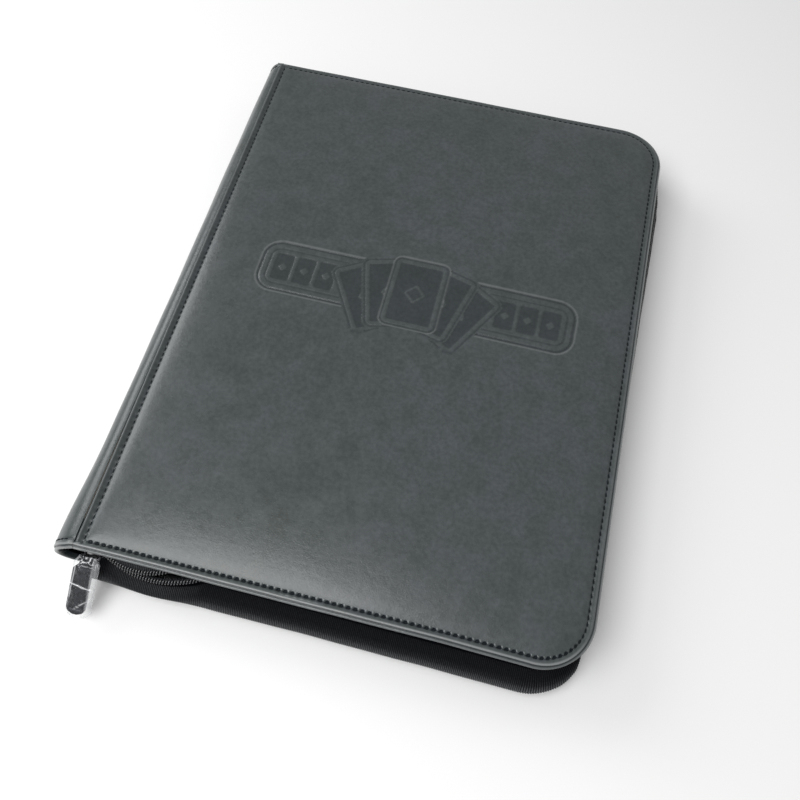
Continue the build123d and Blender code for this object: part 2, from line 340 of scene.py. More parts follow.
def lining_material():
    """Black plain-woven lining cloth."""
    s = Shader("woven_lining")
    warp = s.add("ShaderNodeTexWave", Scale=310.0, Distortion=0.4, bands_direction="X")
    weft = s.add("ShaderNodeTexWave", Scale=310.0, Distortion=0.4, bands_direction="Y")
    for wave in (warp, weft):
        s.link(s.coords.outputs["Object"], wave.inputs["Vector"])
    weave = s.mix(0.5, warp.outputs["Color"], weft.outputs["Color"], "DIFFERENCE")
    fade = s.noise(22, detail=4)
    s.link(s.ramp(fade, [(0.3, (0.010, 0.010, 0.011)), (0.7, (0.020, 0.020, 0.022))]),
           s.surface.inputs["Base Color"])
    s.set(Roughness=0.85, Sheen_Weight=0.3)
    s.bump([(weave, 0.00015, 0.5)])
    return s.material


def foam_material():
    """Charcoal closed-cell foam."""
    s = Shader("closed_cell_foam")
    cells = s.add("ShaderNodeTexVoronoi", Scale=1100.0)
    s.link(s.coords.outputs["Object"], cells.inputs["Vector"])
    s.link(s.ramp(cells.outputs["Distance"], [(0.0, (0.04, 0.04, 0.04)), (0.6, (0.14, 0.14, 0.14))]),
           s.surface.inputs["Base Color"])
    s.set(Roughness=0.95)
    s.bump([(cells.outputs["Distance"], 0.0003, 0.5)])
    return s.material


def clear_material(name, least, most, rough):
    """Thin clear film: see-through face on, glossy and more opaque seen edge on, bright at its creases and
    edges with painted highlights.
    """
    s = Shader(name)
    s.set(Base_Color=(0.82, 0.84, 0.86, 1), Roughness=rough, Specular_IOR_Level=0.9)
    wrinkle = s.noise(260, detail=5, roughness=0.7)
    s.bump([(wrinkle, 0.0005, 0.6)])
    see_through = s.add("ShaderNodeBsdfTransparent")
    facing = s.add("ShaderNodeLayerWeight", Blend=0.30)
    s.link(s.surface.inputs["Normal"].links[0].from_socket, facing.inputs["Normal"])
    cover = s.map(facing.outputs["Facing"], 0.15, 1.0, least, most)
    # Painted highlights: opaque glossy white where the film's creases are marked.
    crease = s.add("ShaderNodeAttribute", attribute_name="painted_light_and_shade")
    whole = s.add("ShaderNodeMath", operation="ADD", use_clamp=True)
    s.link(crease.outputs["Fac"], whole.inputs[0])
    s.link(cover, whole.inputs[1])
    blend = s.add("ShaderNodeMixShader")
    s.link(whole.outputs["Value"], blend.inputs["Fac"])
    s.link(see_through.outputs["BSDF"], blend.inputs[1])
    s.link(s.surface.outputs["BSDF"], blend.inputs[2])
    s.link(blend.outputs["Shader"], s.output.inputs["Surface"])
    return s.material


leather = leather_material()
tape = tape_material()
lining = lining_material()
foam = foam_material()
thread = grained_material("polyester_thread", (0.003, 0.004, 0.005), (0.010, 0.014, 0.016), 0.75,
                          (0.0001, 0.5), {"scale": 2600, "detail": 2, "stretch": (1.0, 1.0, 3.0)},
                          Specular_IOR_Level=0.2)
nylon = grained_material("nylon_coil", (0.010, 0.010, 0.012), (0.050, 0.052, 0.057), (0.14, 0.24), None,
                         {"scale": 900, "detail": 2}, Specular_IOR_Level=1.0)
board = grained_material("grey_board", (0.22, 0.20, 0.17), (0.36, 0.33, 0.29), 0.9, (0.0002, 0.4),
                         {"scale": 600, "detail": 6, "roughness": 0.7})
binding = grained_material("polypropylene_strip", (0.014, 0.014, 0.015), (0.026, 0.026, 0.028), 0.5,
                           (0.00008, 0.4), {"scale": 1800, "detail": 2})
leaf_core = grained_material("leaf_backing", (0.008, 0.008, 0.009), (0.018, 0.018, 0.020), 0.55,
                             (0.0001, 0.4), {"scale": 900, "detail": 3})
cast_metal = {"scale": 700, "detail": 4}
slider_metal = grained_material("slider_plating", (0.05, 0.05, 0.055), (0.11, 0.11, 0.12), (0.28, 0.42),
                                (0.00006, 0.3), cast_metal, Metallic=0.85)
pull_metal = grained_material("pull_plating", (0.026, 0.027, 0.032), (0.052, 0.054, 0.062), (0.24, 0.38),
                              (0.00006, 0.3), cast_metal, Metallic=0.85)
wrap_film = clear_material("crinkled_wrap", 0.03, 0.65, 0.10)
pocket_film = clear_material("pocket_film", 0.05, 0.60, 0.12)


# --- shape of a cover ------------------------------------------------------------------


def inset_from_edge(x, y):
    """How far a point lies inside the foot, fore edge, head and rounded corners."""
    qx = x - bend_x
    qy = np.abs(y) - bend_y
    return corner_r - np.hypot(np.maximum(qx, 0), np.maximum(qy, 0)) - np.minimum(np.maximum(qx, qy), 0)


def crown_rise(x, y):
    """0 at the stitches to 1 well inside the panel; along and across rise on their own."""
    from_sides = np.minimum(fore_x - x, x - seam_x + stitch_inset) - stitch_inset
    from_ends = half_h - np.abs(y) - stitch_inset
    spread = 16.0
    across, along = (1 - np.exp(-np.maximum(inside, 0) / spread) for inside in (from_sides, from_ends))
    return across * along


def padded_height(x, y, depth, crown):
    """Height over the border: border, crease at the stitches, padding inside them."""
    inner = np.maximum(depth - stitch_inset, 0)
    crease = -0.36 * np.exp(-(((depth - stitch_inset) / 0.6) ** 2))
    return crease + (0.85 + crown * crown_rise(x, y)) * (1 - np.exp(-inner / 1.5))


def undulation(x, y):
    """Slow unevenness of the padding."""
    slow = 0.16 * np.sin(x / 31 + 1.2 * np.sin(y / 57)) * np.sin(y / 43 + 0.8)
    return slow + 0.05 * np.sin(x / 9.7 + y / 13.1) * np.sin(y / 11.3 - x / 17.0)


def pull_in(normal):
    """How tightly the thread draws the leather in: only along the foot."""
    return smooth_step(-normal[:, 1], 0.2, 0.9)


def pucker(run, depth):
    """Leather drawn down at each stitch and swelling between stitches."""
    wave = np.cos(TURN * run / stitch_pitch)
    inner = 0.46 * np.exp(-(((depth - stitch_inset - 0.5) / 0.6) ** 2))
    outer = 0.12 * np.exp(-(((depth - stitch_inset + 0.5) / 0.5) ** 2))
    return -wave * (inner + outer)


def needle_shade(run, depth, tight):
    """Shade round each stitch: a saw-tooth where the thread is tight, else a short dash."""
    phase = (run / stitch_pitch + 0.5) % 1
    into = depth - stitch_inset
    peak = 0.66
    tooth = np.minimum(phase / peak, (1 - phase) / (1 - peak))
    saw = smooth_step(1.5 * tooth + 0.05 - into, -0.12, 0.2) * smooth_step(into, -0.65, -0.2)
    beside = np.abs(phase - 0.5) * stitch_pitch
    dash = smooth_step(1.35 - beside, -0.2, 0.2) * np.exp(-((into / 0.4) ** 2))
    return 0.92 * (tight * saw + (1 - tight) * dash)


def ply_reach(normal):
    """The lower ply shows along foot and fore edge, less along the head and round the corners."""
    foot = foot_ply * np.abs(normal[:, 1]) ** 3
    head = head_ply * normal[:, 1] ** 4
    ends = np.maximum(np.where(normal[:, 1] < 0, foot, head), corner_ply)
    return ends + (fore_ply - corner_ply) * smooth_step(normal[:, 0], 0.3, 1.0)


def rim_ends(far_ply, lift=0.0):
    """Rim profile where it crosses a cut end: (distance from the middle, height, painted shade, wear and
    painted highlight).
    """
    return [(half_h - depth + reach * far_ply, lift - drop, shade, wear_and_highlight_share)
            for depth, drop, reach, shade, wear_and_highlight_share in rim_steps]


def settled(x, y):
    """Where a point of a soft cover lies: the foot edge sags out and the seam is out of square."""
    x, y = np.asarray(x, dtype=float), np.asarray(y, dtype=float)
    near_seam = 1 - smooth_step(x, seam_x + 2, seam_x + 80)
    near_foot = smooth_step(-y, 120, 172)
    return x - seam_slant * near_seam * y / half_h, y - near_foot * np.interp(x, slack_at, slack_by)


def cover_point(side, x, y, height):
    """A point over a cover's border, mirrored for the back cover."""
    z = border_z + height
    return np.stack([*settled(x, y), z if side == "front" else np.maximum(shut_t - z, 0)], -1)


def edge_track(start_x, pitch):
    """Runs along foot, fore edge and head: distance run, edge point and outward normal."""
    quarter = math.pi / 2
    foot, arc = bend_x - start_x, corner_r * quarter
    total = 2 * (foot + arc + bend_y)
    run = np.linspace(0, total, int(round(total / pitch)) + 1)
    up_side = foot + arc
    back = up_side + 2 * bend_y
    turned = np.clip((run - foot) / corner_r, 0, quarter) + np.clip((run - back) / corner_r, 0, quarter)
    normal = np.stack([np.cos(turned - quarter), np.sin(turned - quarter)], -1)
    x = bend_x - np.maximum(foot - run, 0) - np.maximum(run - back - arc, 0)
    y = np.clip(run - up_side - bend_y, -bend_y, bend_y)
    return run, np.stack([x, y], -1) + corner_r * normal, normal


def card_fan(x, y):
    """Depth of the pressed emblem and its lighter lines (wear and painted highlight): a fan and two rows of
    cards, each with one diamond.
    """
    px, py = x - emblem_at[0], y - emblem_at[1]
    face_depth, lightened = 0.38, 0.30

    def rounded_box(u, v, half_u, half_v, r):
        qx = np.abs(u) - half_u + r
        qy = np.abs(v) - half_v + r
        return np.hypot(np.maximum(qx, 0), np.maximum(qy, 0)) + np.minimum(np.maximum(qx, qy), 0) - r

    def diamond(u, v, half, r):
        return rounded_box((u + v) * math.sqrt(0.5), (v - u) * math.sqrt(0.5), half, half, r)

    def line(distance, width):
        return 1 - smooth_step(np.abs(distance), width * 0.45, width * 1.05)

    band = rounded_box(px, py, *emblem_half, 10)
    depth = np.maximum(0.40 * line(band, 0.9), 0.30 * line(band + 4.2, 0.7))
    wear_and_highlight_share = lightened * line(band - 1.5, 0.7)
    for place in (54.0, 67.4, 80.8):
        card = rounded_box(np.abs(px) - place, py, 5.6, 9.4, 1.8)
        pip = diamond(np.abs(px) - place, py, 1.7, 0.4)
        face = face_depth * (1 - smooth_step(card, -0.5, 0.6)) * smooth_step(pip, -0.3, 0.6)
        depth = np.maximum(depth, face)
    arm = 52.0                      # from the fan's pivot to the middle of a card
    for step in (-2, 2, -1, 1, 0):
        tilt = math.radians(15.0 * step)
        cx = arm * math.sin(tilt)
        cy = arm * math.cos(tilt) - arm + 1.0
        u = (px - cx) * math.cos(tilt) - (py - cy) * math.sin(tilt)
        v = (px - cx) * math.sin(tilt) + (py - cy) * math.cos(tilt)
        card = rounded_box(u, v, 15.0, 22.0, 3.0)
        pip = diamond(u, v, 4.0, 0.8)
        face = face_depth * (1 - smooth_step(card, -2.4, -1.4)) * smooth_step(np.abs(pip), 0.2, 1.0)
        depth = np.where(card < 0.2, face, np.where(card < 2.4, 0.32 * line(card - 1.1, 0.8), depth))
        wear_and_highlight_share = np.where(card < 3.0, lightened * line(card - 2.3, 0.6) * (step == 0), wear_and_highlight_share)
    return depth, wear_and_highlight_share


def even_steps(low, high, spacing):
    """Points from low to high, about this far apart."""
    return np.linspace(low, high, max(int(round((high - low) / spacing)), 1) + 1)


def add_cover_panel(side, crown, spacing, emblem):
    """The padded middle of a cover, from just inside the stitches inwards."""
    start = stitch_inset + 1.3
    left = seam_x - stitch_inset + corner_r
    if emblem:
        beside, under, over = emblem_half[0] + 4, 30, 27
        stops = ((left, emblem_at[0] - beside, emblem_at[0] + beside, bend_x),
                 (-bend_y, emblem_at[1] - under, emblem_at[1] + over, bend_y))
        cols, rows = (np.concatenate([even_steps(a, b, spacing)[:-1], even_steps(b, c, emblem_spacing)[:-1],
                                      even_steps(c, d, spacing)]) for a, b, c, d in stops)
    else:
        cols, rows = even_steps(left, bend_x, spacing), even_steps(-bend_y, bend_y, spacing)
    reach = corner_r - start
    fan = np.linspace(0, math.pi / 2, int(round(reach * 1.57 / spacing)) + 1)
    ledge = np.linspace(0, reach, int(round(reach / spacing)) + 1)
    outer, inner = [], []

    def side_run(out, into):
        outer.extend(out)
        inner.extend(into)

    def corner_run(out, into):
        side_run(out, [into] * len(out))

    low, high, right = -bend_y, bend_y, bend_x
    fan_out, fan_up = reach * np.sin(fan[1:]), reach * np.cos(fan[1:])
    side_run([(x, low - reach) for x in cols], [(x, low) for x in cols])
    corner_run([(right + out, low - up) for out, up in zip(fan_out, fan_up)], (right, low))
    side_run([(right + reach, y) for y in rows[1:]], [(right, y) for y in rows[1:]])
    corner_run([(right + up, high + out) for out, up in zip(fan_out, fan_up)], (right, high))
    side_run([(x, high + reach) for x in cols[-2::-1]], [(x, high) for x in cols[-2::-1]])
    corner_run([(left - t, high + reach) for t in ledge[1:]]
               + [(left - reach, high + reach - t) for t in ledge[1:]], (left, high))
    side_run([(left - reach, y) for y in rows[-2::-1]], [(left, y) for y in rows[-2::-1]])
    corner_run([(left - reach, low - t) for t in ledge[1:]]
               + [(left - reach + t, low - reach) for t in ledge[1:-1]], (left, low))

    outer, inner = np.array(outer), np.array(inner)
    # rings of points, closer together beside the stitches
    steps = (np.array([0, 0.5, 1.2, 2.1, 3.2, 4.7, 6.7, 9.2, 12.2, 16.2, reach]) / reach)[:, None, None]
    rings = outer * (1 - steps) + inner * steps
    grid_y, grid_x = np.meshgrid(rows, cols, indexing="ij")
    flat = np.concatenate([rings.reshape(-1, 2), np.stack([grid_x.ravel(), grid_y.ravel()], -1)])
    x, y = flat[:, 0], flat[:, 1]
    depth = np.minimum(inset_from_edge(x, y), x - seam_x + stitch_inset)
    height = padded_height(x, y, depth, crown)
    pressed = lightened = np.zeros(len(x))
    if emblem:
        pressed, lightened = card_fan(x, y)
        height = height + undulation(x, y) * smooth_step(depth, start, 20) - pressed
    mirror = side == "back"
    faces = grid_faces(len(steps), len(outer), wrap=True, flip=mirror)
    faces += grid_faces(len(rows), len(cols), first=rings.size // 2, flip=mirror)
    panel = add_piece(f"{side}_panel_skin", cover_point(side, x, y, height), faces, leather, "leather",
                      f"{side}_cover")
    # Painted shade in the emblem's pressed recesses; its lighter lines are wear and painted highlight.
    mark(panel, "painted_light_and_shade", np.clip(pressed * 1.35, 0, 1))
    mark(panel, "wear_and_highlight", lightened)
    weld(panel)


def add_cover_border(side, crown):
    """Stitched border and two-ply rim round foot, fore edge and head."""
    run, edge, normal = edge_track(seam_x, stitch_pitch / track_steps)
    inner = [stitch_inset + step for step in (1.35, 1.1, 0.9, 0.7, 0.45, 0.2, 0.0, -0.2, -0.45)]
    inner += [2.8, 2.35]            # and the bare border outside them
    rows, shades, wear_and_highlight_rows = [], [], []
    wave = 0.10 * np.sin(run / 23.0) + 0.07 * np.sin(run / 7.1 + 1.0)
    tight = pull_in(normal)
    for depth in inner:
        lobe = 0.42 * math.exp(-(((depth - stitch_inset - 0.5) / 0.5) ** 2))
        scallop = lobe * tight * np.cos(TURN * run / stitch_pitch)
        at = edge - normal * (depth + scallop)[:, None]
        true_depth = np.minimum(depth, at[:, 0] - seam_x + stitch_inset)
        fade = smooth_step(at[:, 0], seam_x - 0.5, seam_x + 1.5)
        height = padded_height(at[:, 0], at[:, 1], true_depth, crown)
        height = height + pucker(run, depth) * fade * (0.3 + 0.4 * tight)
        rows.append(cover_point(side, at[:, 0], at[:, 1], height))
        # Painted shade round the stitches.
        shades.append(needle_shade(run, depth, tight) * fade)
        wear_and_highlight_rows.append(np.zeros(len(run)))
    for depth, drop, reach, shade, wear_and_highlight_share in rim_steps:
        out = reach * ply_reach(normal) - depth - 0.35 * wave
        at = edge + normal * out[:, None]
        rows.append(cover_point(side, at[:, 0], at[:, 1], wave - drop))
        # Painted shade in the rim's groove.
        shades.append(np.full(len(run), shade))
        # Wear and painted highlight: the first ply's bead lighter along the foot, the outer ply lighter
        # away from the foot.
        wear_and_highlight_rows.append(wear_and_highlight_share * (0.25 + 0.75 * tight if reach == 0 else 1 - 0.6 * tight))
    add_leather(f"{side}_border_skin", rows, shades, wear_and_highlight_rows, side == "back", f"{side}_cover",
                [f"{side}_leather"])


def blend_at_fold(piece):
    """Bakes the placement of a piece of leather between the spine and a cover into its points; it does not
    bend it at the fold.
    """
    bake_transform(piece)


def add_seam(side, crown):
    """Turned edge of the spine leather, sewn down beside the panel, with its rim at both ends."""
    last = half_h - 2.3
    along = np.linspace(-last, last, int(round(2 * last * track_steps / stitch_pitch)) + 1)
    across = [  # (x from the seam, height over the border) of the ridge
        (-5.8, -1.30), (-5.0, -0.85), (-4.4, -0.5), (-4.1, -0.12), (-3.8, 0.30), (-3.5, 0.66),
        (-3.2, 0.88), (-2.9, 0.92), (-2.6, 0.80), (-2.2, 0.50), (-1.7, 0.20), (-1.2, -0.02),
        (-0.8, -0.18), (-0.45, -0.32), (-0.1, -0.40), (0.2, -0.38),
    ]
    panel_side = [0.45, 0.7, 1.0, 1.35]
    stations = [(-out, *rest) for out, *rest in rim_ends(foot_ply)[::-1]]
    stations += [(at_y, 0, 0, 0) for at_y in along] + rim_ends(head_ply)
    y, drop, dark, wear_and_highlight = np.array(stations).T
    on_top = np.zeros(len(y))
    on_top[len(rim_steps):-len(rim_steps)] = 1
    from_end = half_h - np.abs(y)
    cross_row = 0.30 * np.exp(-(((from_end - stitch_inset) / 0.5) ** 2))
    rise = smooth_step(from_end, 1.6, 3.4) * on_top
    rows, shades, wear_and_highlight_rows = [], [], []
    tight = 0.3                     # share of the foot's puckers
    for offset, height in across:
        wave = tight * pucker(y, stitch_inset + abs(offset) * 0.8)
        lumps = 0.05 * np.sin(y / 5.3 + offset) + 0.06 * np.sin(y / 17.0)
        z = (height + wave + lumps) * rise - cross_row * on_top + drop
        rows.append(cover_point(side, np.full(len(y), seam_x + offset), y, z))
        # Painted shade in the stitch crease and in the valley beside the ridge, and a painted highlight
        # along the ridge's crest.
        crease = 0.6 * math.exp(-((offset / 0.45) ** 2))
        valley = 0.22 * math.exp(-(((offset + 1.2) / 0.9) ** 2))
        notch = needle_shade(y, stitch_inset - offset * 0.8, 0)
        shades.append(np.clip(np.maximum(notch, crease) + valley, 0, 1) * on_top + dark)
        wear_and_highlight_rows.append(0.35 * math.exp(-(((offset + 2.85) / 0.3) ** 2)) * on_top + wear_and_highlight)
    for offset in panel_side:
        x = np.full(len(y), seam_x + offset)
        depth = np.minimum(stitch_inset + offset, from_end)
        height = padded_height(x, y, depth, crown) + tight * pucker(y, stitch_inset + offset)
        rows.append(cover_point(side, x, y, height * on_top + drop))
        # Painted shade in the stitch crease.
        crease = 0.6 * math.exp(-((offset / 0.45) ** 2))
        notch = needle_shade(y, stitch_inset + offset, 0)
        shades.append(np.maximum(notch, crease) * on_top + dark)
        wear_and_highlight_rows.append(wear_and_highlight)
    seam = add_leather(f"{side}_seam_skin", rows, shades, wear_and_highlight_rows, side == "front",
                       stands_for=[f"{side}_seam_band"])
    blend_at_fold(seam)


# --- stitches --------------------------------------------------------------------------


def thread_loop(length, radius, dip):
    """Points of one visible stitch along local x: a twisted two-ply strand that dives at both ends."""
    rings, sides = 7, 6
    t = np.linspace(-1, 1, rings)
    around = np.arange(sides) * TURN / sides
    points = []
    for u in t:
        swell = math.sqrt(max(1 - 0.75 * u ** 4, 0.05))
        squeeze = 1 + 0.10 * math.cos(3 * math.pi * u)
        for a in around:
            points.append((
                u * length / 2,
                radius * swell * squeeze * math.cos(a),
                radius * swell * math.sin(a) - dip * u ** 4,
            ))
    return np.array(points), grid_faces(rings, sides, wrap=True) + end_caps(rings, sides)


def add_stitches(name, places, body, stands_for=(), slant=14.0):
    """One stitch at each (point, direction, up)."""
    loop, loop_faces = thread_loop(2.5, 0.33, 0.30)
    turn = math.radians(slant)
    points, faces = [], []
    for at, direction, up in places:
        direction = np.array(direction, dtype=float)
        up = np.array(up, dtype=float)
        aside = np.cross(up, direction)
        ahead = direction * math.cos(turn) + aside * math.sin(turn)
        aside = np.cross(up, ahead)
        first = len(points) * len(loop)
        points.append(np.array(at) + loop @ np.stack([ahead, aside, up]))
        faces += [[first + i for i in face] for face in loop_faces]
    return add_piece(name, np.concatenate(points), faces, thread, "thread", body, stands_for)


def add_cover_stitches(side):
    """Lockstitch round the border and up the seam of one cover."""
    up = 1 if side == "front" else -1
    run, edge, normal = edge_track(seam_x, stitch_pitch / track_steps)
    outside_z, inside_z = border_z - 0.22, shut_t - 3.62
    z, inside_z = (outside_z, inside_z) if side == "front" else (shut_t - outside_z, shut_t - inside_z)

    def round_edge(start, level, upwards):
        places = []
        for i in range(start, len(run) - start, track_steps):
            nx, ny = normal[i]
            x, y = edge[i] - normal[i] * stitch_inset
            places.append(((*settled(x, y), level), (-ny, nx, 0), (0, 0, upwards)))
        return places

    places = round_edge(track_steps, z, up)
    first = math.ceil((stitch_inset - half_h + 1) / stitch_pitch)
    for i in range(first, -first + 1):
        places.append(((*settled(seam_x, i * stitch_pitch), z - 0.08 * up), (0, 1, 0), (0, 0, up)))
    add_stitches(f"{side}_lockstitch", places, f"{side}_cover", [f"{side}_stitching"])
    add_stitches(f"{side}_inner_lockstitch", round_edge(track_steps // 2, inside_z, -up), f"{side}_cover")


# --- spine -----------------------------------------------------------------------------


def spine_curve(angle, offset):
    """A point across the spine; offset is outwards from its outer face."""
    a, b = spine_bulge, mid_z - 0.75
    x, z = a * math.cos(angle), b * math.sin(angle)
    nx, nz = x / a ** 2, z / b ** 2
    size = math.hypot(nx, nz)
    return fold_x - 0.2 + x + offset * nx / size, mid_z + z + offset * nz / size


def flared(x, y, angle, flare=1.0, over=1.0):
    """A point near the spine's foot end, moved by its shares of the flare and of the overhang."""
    bulge = abs(math.cos(angle))
    return x - spine_flare * flare * bulge ** 2, y - (slack_by[0] + spine_over * bulge) * over


def spine_end_point(angle, offset, way, from_end):
    """A point across the spine near its foot (way -1) or head (way 1)."""
    x, z = spine_curve(angle, offset)
    y = way * (half_h - from_end)
    if way < 0:
        x, y = flared(x, y, angle)
    return x, y, z


def add_spine_half(name, start, end, stands_for):
    """Half of the spine's leather, rolled over a two-ply rim at both ends."""
    angles = np.linspace(start, end, 25)
    # stations along the spine: (y, lift, painted shade, wear and painted highlight); the flat ones find
    # their lift below
    near = [half_h - d for d in (2.4, 2.8, 3.1, 3.4, 3.7, 4.0, 4.4, 5.2, 6.0, 7.5, 10.0)]
    middle = np.linspace(-half_h + 14, half_h - 14, 121)
    flat = [(v, None, 0, 0) for v in [-v for v in near] + list(middle) + near[::-1]]
    foot_end = [(-end, lift, shade, wear_and_highlight_share) for end, lift, shade, wear_and_highlight_share in rim_ends(foot_ply, -0.15)[::-1]]
    stations = foot_end + flat + rim_ends(head_ply, -0.15)
    rows, shades, wear_and_highlight_rows = [], [], []
    for angle in angles:
        row = []
        for at_y, lift, shade, wear_and_highlight_share in stations:
            from_end = half_h - abs(at_y)
            # Painted shade along the row of stitches.
            row_shade = math.exp(-(((from_end - stitch_inset) / 0.5) ** 2))
            if lift is None:
                calm = float(smooth_step(from_end, 3, 20)) * abs(math.cos(angle))
                soft = 0.22 * math.sin(at_y / 38 + 2 * angle) + 0.10 * math.sin(at_y / 9.5 + 5 * angle)
                lift = soft * calm - 0.38 * row_shade - 0.12 + 0.12 * float(smooth_step(from_end, 4, 9))
                shade = 0.6 * row_shade
            x, z = spine_curve(angle, lift)
            flare, over = (float(smooth_step(-at_y, low, high)) for low, high in ((110, 175), (145, 172)))
            row.append((*flared(x, at_y, angle, flare, over), max(z, 0.02)))
            shades.append(shade)
            wear_and_highlight_rows.append(wear_and_highlight_share)
        rows.append(row)
    half = add_leather(name, rows, shades, wear_and_highlight_rows, stands_for=stands_for)
    blend_at_fold(half)


def add_spine_stitches():
    """One row of stitches across each end of the spine."""
    places = []
    for way in (-1, 1):
        for i in range(2, 14):
            angle = math.pi / 2 + math.pi * i / 15
            ahead = np.array(spine_curve(angle + 0.02, 0)) - np.array(spine_curve(angle - 0.02, 0))
            ahead = ahead / np.hypot(*ahead)
            out = np.array(spine_curve(angle, 1.0)) - np.array(spine_curve(angle, 0.0))
            at = spine_end_point(angle, -0.30, way, stitch_inset)
            places.append((at, (ahead[0], 0, ahead[1]), (out[0], 0, out[1])))
    add_stitches("spine_lockstitch", places, "spine", ["spine_stitching"])


def add_spine_end_tape(end_name, way, stands_for):
    """Ribbed tape inside one end of the spine."""
    ribs, per_rib = 62, 4
    angles = np.linspace(math.pi / 2 + 0.16, 3 * math.pi / 2 - 0.16, per_rib * ribs + 1)
    rows = []
    for depth in (1.0, 1.6, 3.0, 6.0, 10.0, 14.0):
        row = []
        for i, angle in enumerate(angles):
            rib = 0.10 * math.sin(TURN * i / per_rib)
            row.append(spine_end_point(angle, -2.75 - 0.03 * depth + rib, way, depth))
        rows.append(row)
    add_piece(f"spine_end_tape_{end_name}", np.array(rows).reshape(-1, 3),
              grid_faces(len(rows), len(angles), flip=way < 0), tape, "zip_tape", "spine", stands_for)


# --- zip -------------------------------------------------------------------------------


def foot_bow(x, y, length):
    """0 to 1 and back along the foot, from the slider, where a free coil bows out."""
    u = np.clip((x - coil_left + 3) / length, 0, 1)
    return np.where(y < 0, np.sin(math.pi * u) ** 0.75, 0)


def fore_bow(x, y, scale):
    """The slack zip pushes out along the fore edge, most of all near the head."""
    push = np.interp(y, [-175, -150, -120, -50, 0, 60, 100, 125, 150, 175],
                     [0, 1.0, 3.7, 4.0, 4.4, 5.3, 5.8, 6.2, 3.2, 0])
    return scale * push * smooth_step(x, bend_x + 2, fore_x - 1)


def lower_coil_out(x, y):
    """How far the lower coil stands out of the cover's edge."""
    return -coil_inset + 7.9 * foot_bow(x, y, bow_length) + fore_bow(x, y, 1.0)


def upper_coil_out(x, y):
    return -coil_inset + 6.3 * foot_bow(x, y, upper_bow_length) + fore_bow(x, y, 0.85)


def belly_share(edge, normal):
    """How slack the lower tape is: full along the foot, tucked in round the near corner."""
    turn = np.degrees(np.arctan2(normal[:, 1], normal[:, 0]))
    share = np.interp(turn, [-90, -79, -54, -37, -24, -8, 0, 90],
                      [1.19, 1.15, 0.97, 0.72, 0.36, 0.14, 0.12, 0.8])
    fore = np.interp(edge[:, 1], [-150, -100, 0, 100, 150], [0.12, 0.3, 0.45, 0.62, 0.66])
    return np.where(np.abs(turn) < 0.01, fore, np.where(turn > 0, np.maximum(share, 0.66), share))


def add_tape(name, profile, coil_out, body, stands_for):
    """A ribbed tape along three sides; profile: (out, z, share of the bow, rib depth, painted light)."""
    rib_pitch = 0.96
    run, edge, normal = edge_track(coil_left - 12.5, rib_pitch / 4)
    ribs = np.cos(TURN * run / rib_pitch)
    sag = 0.3 * np.sin(run / 29.0) + 0.2 * np.sin(run / 11.3 + 0.6) + 0.12 * np.sin(run / 5.1)
    bow = coil_out(edge[:, 0], edge[:, 1]) + coil_inset
    belly = belly_share(edge, normal)
    near_slider = foot_bow(edge[:, 0], edge[:, 1], bow_length)
    rows, tint = [], []
    for out, z, share, depth, painted_light_share in profile:
        slack = 0.45 * math.sin(math.pi * min(max((z - 2) / 16, 0), 1)) if body == "back_cover" else 0.1
        shift = (out * belly if out > 0 else out) + share * bow + slack * sag + depth * ribs
        at = edge + normal * shift[:, None]
        rows.append(np.stack([at[:, 0], at[:, 1], np.full(len(run), z) + 0.12 * sag * share], -1))
        # Painted light: lighter on the rib crests and near the slider.
        seen = painted_light_share ** (1 / (1 + 0.9 * near_slider)) * (0.45 + 0.55 * ribs).clip(0)
        tint.append(seen if depth > 0 else np.zeros(len(run)))
    strip = add_piece(name, np.concatenate(rows), grid_faces(len(rows), len(run), flip=True), tape,
                      "zip_tape", body, stands_for)
    mark(strip, "painted_light_and_shade", np.concatenate(tint))


def lower_tape_profile():
    """Out of the rim, down and round a slack belly, then up to the coil."""
    start, pull_out, pull_in, end = (0.0, 2.7), (9.5, -1.0), (14.5, 15.5), (-coil_inset, 17.5)
    outer = []
    for t in np.linspace(0, 1, 13):
        weights = ((1 - t) ** 3, 3 * t * (1 - t) ** 2, 3 * t * t * (1 - t), t ** 3)
        out = sum(w * p[0] for w, p in zip(weights, (start, pull_out, pull_in, end)))
        z = sum(w * p[1] for w, p in zip(weights, (start, pull_out, pull_in, end)))
        # Painted light: lit along the belly that stands past the cover, dark higher up in the cover's
        # shade.
        painted_light_share = 1.0 - 0.92 * float(smooth_step(t, 0.56, 0.80))
        outer.append((out, max(z, 0.6), float(smooth_step(t, 0.45, 1.0)), 0.24, painted_light_share))
    outer += [(-coil_inset, 19.5, 1.0, 0.14, 0.0), (-coil_inset, lower_coil_z - 0.6, 1.0, 0.10, 0.0)]
    inner = [(-coil_inset - tape_t, z, 1.0, 0.0, 0) for z in (lower_coil_z - 0.6, 18.0)]
    inner += [(out - tape_t, z, share, 0.0, 0) for out, z, share, _, _ in outer[10:2:-2]]
    return outer + inner


def upper_tape_profile():
    """Down from under the border to the coil."""
    steps = ((shut_t - 2.9, 0.0), (33.6, 0.15), (32.0, 0.45), (30.4, 0.8), (upper_coil_z + 0.6, 1.0))
    # The last column is a low, even share of painted light.
    outer = [(-coil_inset, z, share, 0.12, 0.12) for z, share in steps]
    inner = [(-coil_inset - tape_t, z, share, 0.0, 0) for z, share in steps[::-1]]
    return outer + inner


def rings_about(path, first, second, radius, sides):
    """A ring of points round each point of a path, from two directions across it."""
    around = np.arange(sides) * TURN / sides
    ring = first[:, None, :] * np.cos(around)[:, None] + second[:, None, :] * np.sin(around)[:, None]
    return (path[:, None, :] + radius * ring).reshape(-1, 3)


